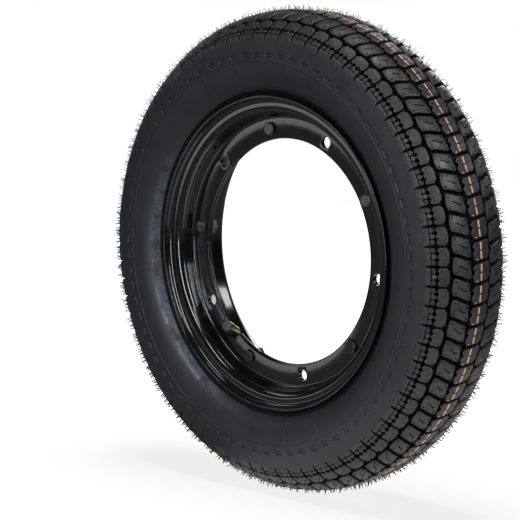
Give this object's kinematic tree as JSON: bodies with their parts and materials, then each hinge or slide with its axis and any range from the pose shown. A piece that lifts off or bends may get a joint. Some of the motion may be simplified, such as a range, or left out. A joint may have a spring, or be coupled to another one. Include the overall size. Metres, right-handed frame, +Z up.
{
  "type": "scooter wheel and tyre assembly",
  "caption": "Block-tread tubed tyre on a divided pressed-steel rim with a wide open centre, joined by bolts, with a bent brass tube valve; bolts to a scooter's hub.",
  "frame": {"origin": "centre of the wheel: on the axle line, at the middle plane of the tyre", "axes": "+Y along the axle line towards the hub side, +Z up, the face with the bolt heads looks towards -Y"},
  "size_m": [0.432, 0.0914, 0.432],
  "materials": {
    "tyre_rubber": "satin moulded rubber",
    "tube_rubber": "matt",
    "rim_paint": "gloss black paint",
    "bolt_paint": "black, semi-gloss",
    "spring_steel": "plain spring steel",
    "valve_brass": "bright brass",
    "cap_plastic": "gloss black",
    "seal_rubber": "matt"
  },
  "bodies": {
    "wheel": {"tyre": "tyre_rubber", "inner_tube": "tube_rubber", "outer_rim_half": "rim_paint", "inner_rim_half": "rim_paint", "rim_bolts": "bolt_paint", "spring_washers": "spring_steel", "rim_nuts": "bolt_paint", "valve_stem": "valve_brass", "valve_core": "valve_brass", "valve_spring": "spring_steel"},
    "cap_seal": {"valve_cap_seal": "seal_rubber"},
    "cap": {"valve_cap": "cap_plastic"},
    "pin": {"valve_pin": "valve_brass"}
  },
  "joints": [
    {"name": "valve_cap_lift", "type": "slide", "parent": "wheel", "child": "cap_seal", "axis": [0.3214, -0.8829, 0.3422], "range_m": [0, 0.00715]},
    {"name": "valve_cap_turn", "type": "hinge", "parent": "cap_seal", "child": "cap", "pos_m": [-0.06946, -0.02042, -0.07397], "axis": [0.3214, -0.8829, 0.3422], "range_deg": [0, 3244]},
    {"name": "valve_pin_press", "type": "slide", "parent": "wheel", "child": "pin", "axis": [-0.3214, 0.8829, -0.3422], "range_m": [0, 0.001], "stiffness_N_per_m": 600, "springref_m": -0.002, "deforming": ["valve_spring"]}
  ],
  "couplings": [
    {"joint": "valve_cap_turn", "follows": "valve_cap_lift", "rad_per_m": 7913.3}
  ]
}
